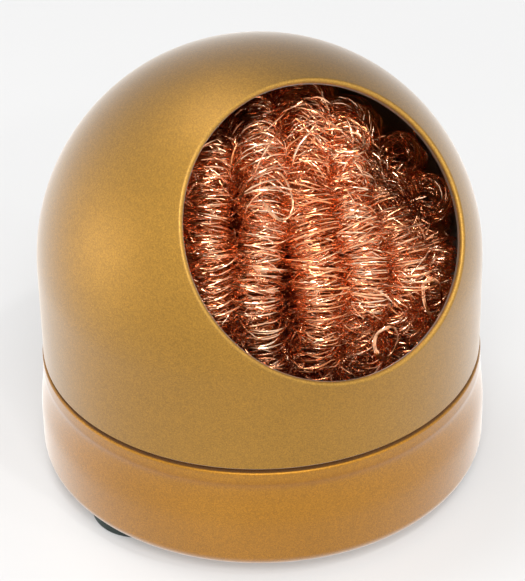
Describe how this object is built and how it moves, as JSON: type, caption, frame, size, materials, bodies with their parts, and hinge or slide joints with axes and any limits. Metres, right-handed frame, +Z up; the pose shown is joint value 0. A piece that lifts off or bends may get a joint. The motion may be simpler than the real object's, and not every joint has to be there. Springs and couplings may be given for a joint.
{
  "type": "soldering tip cleaner",
  "caption": "Domed metal holder with a round slanted mouth over a ball of curled metal wool, on a weighted round base with rubber feet.",
  "frame": {"origin": "centre of the base on the plane the feet stand on", "axes": "+Z up through the dome's centre, the mouth faces -Y and upwards, +X to the right seen from the mouth's side"},
  "size_m": [0.0758, 0.0758, 0.0754],
  "materials": {
    "cover_metal": "satin gold metallic lacquer with a fine sparkle",
    "base_metal": "satin orange-gold metallic lacquer",
    "weight_steel": "plain sawn steel, hidden",
    "foot_rubber": "matt dark green-black rubber",
    "wool": "bright copper-coloured curled turnings"
  },
  "bodies": {
    "base": {"base_cup": "base_metal", "weight_plate": "weight_steel", "foot_left": "foot_rubber", "foot_right": "foot_rubber", "foot_back": "foot_rubber"},
    "cover": {"dome_cover": "cover_metal"},
    "wool": {"wool_outer_mid": "wool", "wool_outer_l1": "wool", "wool_outer_l2": "wool", "wool_outer_l3": "wool", "wool_outer_l4": "wool", "wool_outer_r1": "wool", "wool_outer_r2": "wool", "wool_outer_r3": "wool", "wool_outer_r4": "wool", "wool_middle_mid": "wool", "wool_middle_l1": "wool", "wool_middle_l2": "wool", "wool_middle_l3": "wool", "wool_middle_r1": "wool", "wool_middle_r2": "wool", "wool_middle_r3": "wool", "wool_core_mid": "wool", "wool_core_left": "wool", "wool_core_right": "wool"}
  },
  "joints": [
    {"name": "cover_lift", "type": "slide", "parent": "base", "child": "cover", "axis": [0, 0, 1], "range_m": [0, 0.12]},
    {"name": "wool_lift", "type": "slide", "parent": "base", "child": "wool", "axis": [0, 0, 1], "range_m": [0, 0.054]}
  ],
  "couplings": [
    {"joint": "wool_lift", "follows": "cover_lift", "ratio": 0.45}
  ]
}
